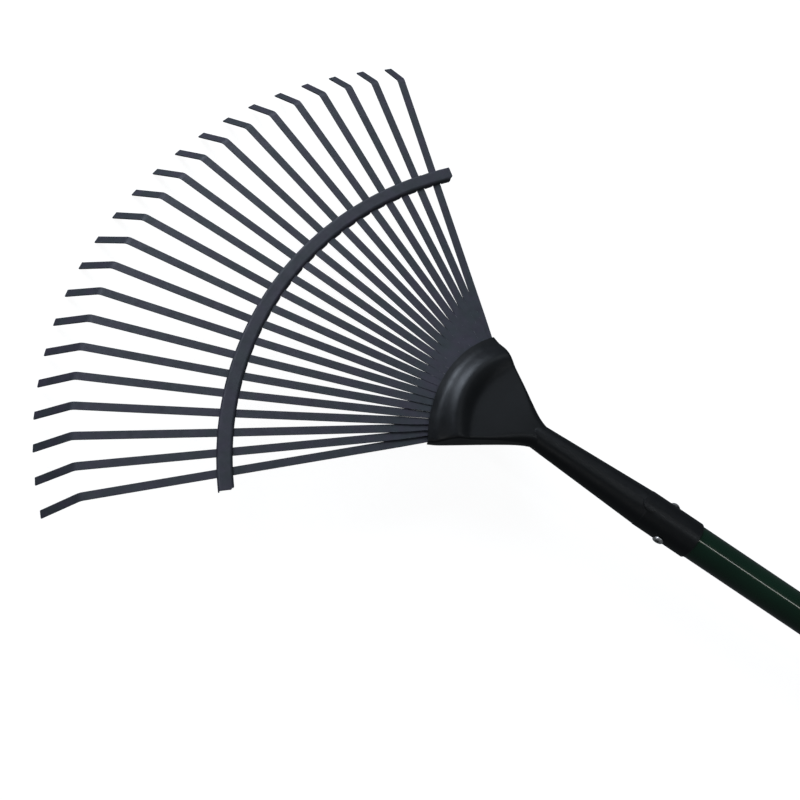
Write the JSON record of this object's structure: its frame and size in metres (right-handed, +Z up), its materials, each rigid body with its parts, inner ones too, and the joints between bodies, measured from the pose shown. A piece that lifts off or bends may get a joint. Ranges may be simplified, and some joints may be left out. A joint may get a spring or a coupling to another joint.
{
  "type": "leaf rake",
  "caption": "Leaf rake: a fan of flat spring-steel tines held by a slotted cross brace and a moulded head, riveted to a long tube pole with a hang hole.",
  "frame": {"origin": "centre of the hang hole, on the pole's axis", "axes": "+X along the pole from the hang hole towards the tines, +Y across the fan, +Z up on the ridged side of the head, so the bent tips point to -Z"},
  "size_m": [1.6817, 0.4562, 0.0811],
  "materials": {
    "tine_paint": "satin grey enamel on spring steel",
    "brace_paint": "satin grey enamel on pressed steel",
    "head_plastic": "satin black moulding with a fine grain",
    "cap_plastic": "satin black moulding",
    "pole_paint": "very dark green gloss coating",
    "rivet_steel": "bright rolled steel",
    "zinc_steel": "zinc plated"
  },
  "bodies": {
    "root": {"tine_01": "tine_paint", "tine_02": "tine_paint", "tine_03": "tine_paint", "tine_04": "tine_paint", "tine_05": "tine_paint", "tine_06": "tine_paint", "tine_07": "tine_paint", "tine_08": "tine_paint", "tine_09": "tine_paint", "tine_10": "tine_paint", "tine_11": "tine_paint", "tine_12": "tine_paint", "tine_13": "tine_paint", "tine_14": "tine_paint", "tine_15": "tine_paint", "tine_16": "tine_paint", "tine_17": "tine_paint", "tine_18": "tine_paint", "tine_19": "tine_paint", "tine_20": "tine_paint", "tine_21": "tine_paint", "tine_22": "tine_paint", "cross_brace": "brace_paint", "head_shell": "head_plastic", "head_cover": "head_plastic", "tine_anchor_strip": "zinc_steel", "head_screws": "zinc_steel", "pole": "pole_paint", "socket_rivet": "rivet_steel", "pole_end_cap": "cap_plastic"}
  },
  "joints": []
}
